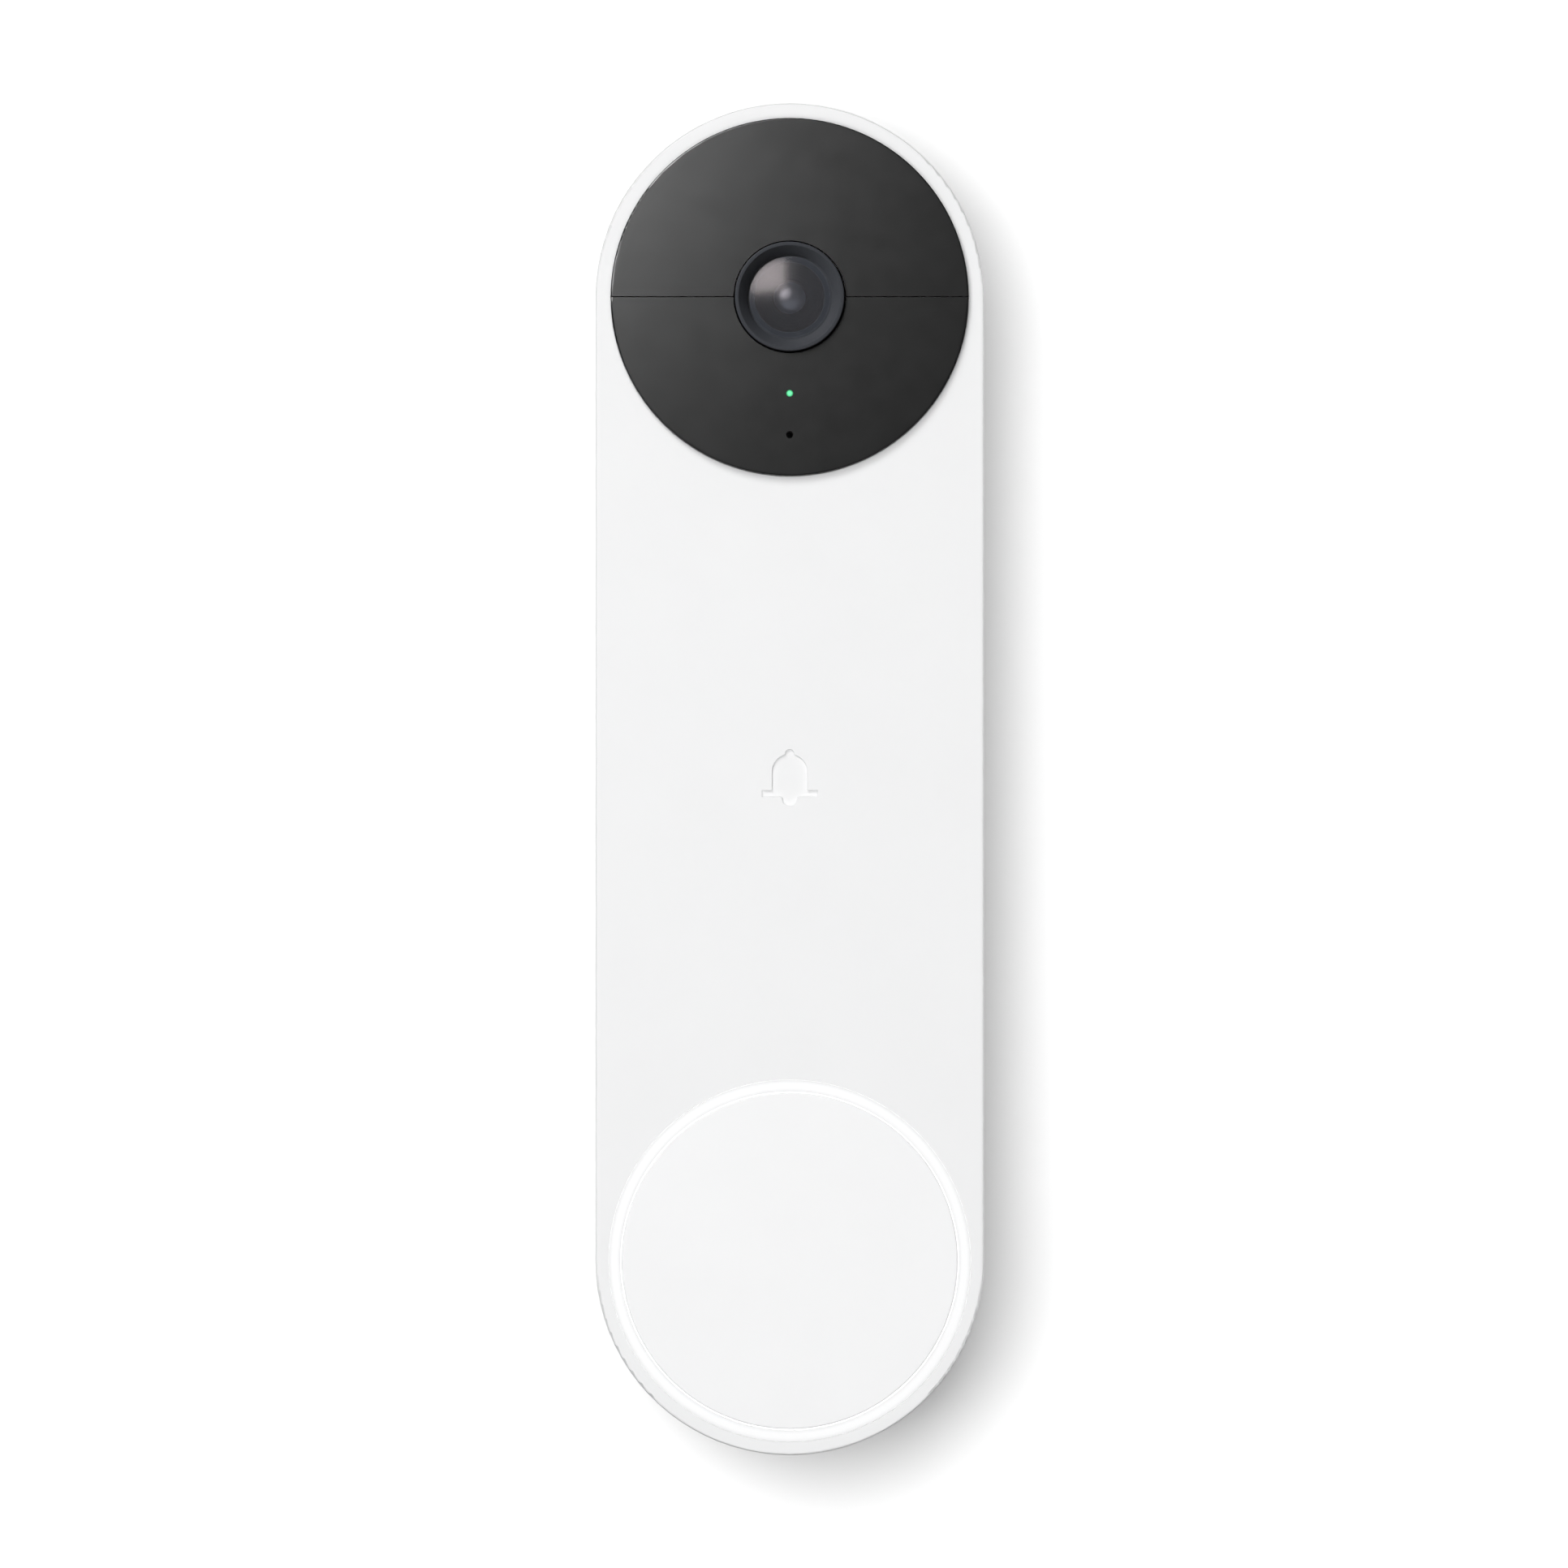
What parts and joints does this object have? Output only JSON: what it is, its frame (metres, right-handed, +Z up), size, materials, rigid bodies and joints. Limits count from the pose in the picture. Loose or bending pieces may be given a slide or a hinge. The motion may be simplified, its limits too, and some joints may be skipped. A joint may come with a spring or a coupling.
{
  "type": "video doorbell",
  "caption": "Battery video doorbell on a wall plate: stadium-shaped white housing, dark round camera window with a lens above, and a round push button in a light ring below.",
  "frame": {"origin": "middle of the wall plate's rear face, on the wall", "axes": "+X to the right of a visitor facing it, +Y into the wall, +Z up"},
  "size_m": [0.046, 0.0241, 0.16],
  "materials": {
    "white_shell": "satin",
    "button_white": "satin",
    "rear_shell": "fine matte texture",
    "wall_plate_plastic": "fine matte texture",
    "camera_cover": "satin, lets infrared through",
    "bezel_black": "satin black",
    "lens_glass": "coated",
    "filter_glass": "infrared cut coating",
    "barrel_black": "flat black",
    "black_plastic": "moulded",
    "circuit_board": "solder mask",
    "ribbon": "polyimide film",
    "antenna_copper": "etched",
    "sensor_chip": "coated silicon",
    "shield_metal": "tin plated",
    "infrared_led": "tinted resin",
    "white_led": "resin",
    "status_pipe": "lit green",
    "light_diffuser": "lit white diffuser",
    "seal_rubber": "silicone",
    "screw_steel": "zinc plated",
    "spring_steel": "bright",
    "terminal_steel": "nickel plated",
    "terminal_brass": "machined",
    "plunger_plastic": "moulded",
    "reset_plastic": "moulded",
    "battery_wrap": "laminated pouch wrap",
    "magnet_steel": "nickel plated magnet",
    "cone_film": "film",
    "mesh_steel": "black woven mesh"
  },
  "bodies": {
    "wall_mount": {"wall_plate": "wall_plate_plastic", "latch_spring": "spring_steel", "latch_rivets": "screw_steel"},
    "unit": {"front_housing": "white_shell", "rear_housing": "rear_shell", "upper_disc_cover": "camera_cover", "lower_disc_cover": "camera_cover", "lens_bezel": "bezel_black", "lens_window": "lens_glass", "front_lens": "lens_glass", "rear_lens": "lens_glass", "lens_barrel": "barrel_black", "camera_housing": "black_plastic", "chassis": "black_plastic", "terminal_block": "black_plastic", "tact_switch": "black_plastic", "speaker_frame": "black_plastic", "filter_actuator": "black_plastic", "reset_switch": "black_plastic", "sensor_board": "circuit_board", "night_led_board": "circuit_board", "front_sensor_board": "circuit_board", "button_board": "circuit_board", "main_board": "circuit_board", "rear_port_board": "circuit_board", "camera_flex": "ribbon", "battery_flex": "ribbon", "button_flex": "ribbon", "wifi_antenna": "antenna_copper", "image_sensor": "sensor_chip", "processor_shield": "shield_metal", "radio_shield": "shield_metal", "motion_sensor": "shield_metal", "microphone": "shield_metal", "infrared_leds": "infrared_led", "ring_leds": "white_led", "status_led": "white_led", "status_light_pipe": "status_pipe", "light_ring": "light_diffuser", "housing_seal": "seal_rubber", "microphone_gasket": "seal_rubber", "speaker_duct": "seal_rubber", "button_seal": "seal_rubber", "housing_screws": "screw_steel", "chassis_screws": "screw_steel", "usb_port": "terminal_steel", "terminal_nuts": "terminal_brass", "battery_pack": "battery_wrap", "speaker_magnet": "magnet_steel", "speaker_cone": "cone_film", "speaker_mesh": "mesh_steel"},
    "button": {"button_cap": "button_white"},
    "plunger": {"switch_plunger": "plunger_plastic"},
    "reset": {"reset_button": "reset_plastic"},
    "filter": {"ir_cut_filter": "filter_glass"},
    "left_clamp": {"left_clamp_plate": "terminal_steel"},
    "left_screw": {"left_terminal_screw": "terminal_steel"},
    "right_clamp": {"right_clamp_plate": "terminal_steel"},
    "right_screw": {"right_terminal_screw": "terminal_steel"}
  },
  "joints": [
    {"name": "unit_tilt", "type": "hinge", "parent": "wall_mount", "child": "unit", "pos_m": [0, -0.0026, -0.0735], "axis": [1, 0, 0], "range_deg": [0, 10], "deforming": ["latch_spring"]},
    {"name": "button_press", "type": "slide", "parent": "unit", "child": "button", "axis": [0, 1, 0], "range_m": [0, 0.0004], "stiffness_N_per_m": 1500},
    {"name": "plunger_press", "type": "slide", "parent": "unit", "child": "plunger", "axis": [0, 1, 0], "range_m": [0, 0.0004]},
    {"name": "reset_press", "type": "slide", "parent": "unit", "child": "reset", "axis": [0, -1, 0], "range_m": [0, 0.0003], "stiffness_N_per_m": 900},
    {"name": "filter_shift", "type": "slide", "parent": "unit", "child": "filter", "axis": [-1, 0, 0], "range_m": [0, 0.0064]},
    {"name": "left_clamp_lift", "type": "slide", "parent": "unit", "child": "left_clamp", "axis": [0, 1, 0], "range_m": [0, 0.00125]},
    {"name": "left_screw_turn", "type": "hinge", "parent": "left_clamp", "child": "left_screw", "pos_m": [-0.006, -0.0047, -0.042], "axis": [0, 1, 0], "range_deg": [0, 900]},
    {"name": "right_clamp_lift", "type": "slide", "parent": "unit", "child": "right_clamp", "axis": [0, 1, 0], "range_m": [0, 0.00125]},
    {"name": "right_screw_turn", "type": "hinge", "parent": "right_clamp", "child": "right_screw", "pos_m": [0.006, -0.0047, -0.042], "axis": [0, 1, 0], "range_deg": [0, 900]}
  ],
  "couplings": [
    {"joint": "plunger_press", "follows": "button_press", "ratio": 1},
    {"joint": "left_screw_turn", "follows": "left_clamp_lift", "rad_per_m": 12566},
    {"joint": "right_screw_turn", "follows": "right_clamp_lift", "rad_per_m": 12566}
  ]
}
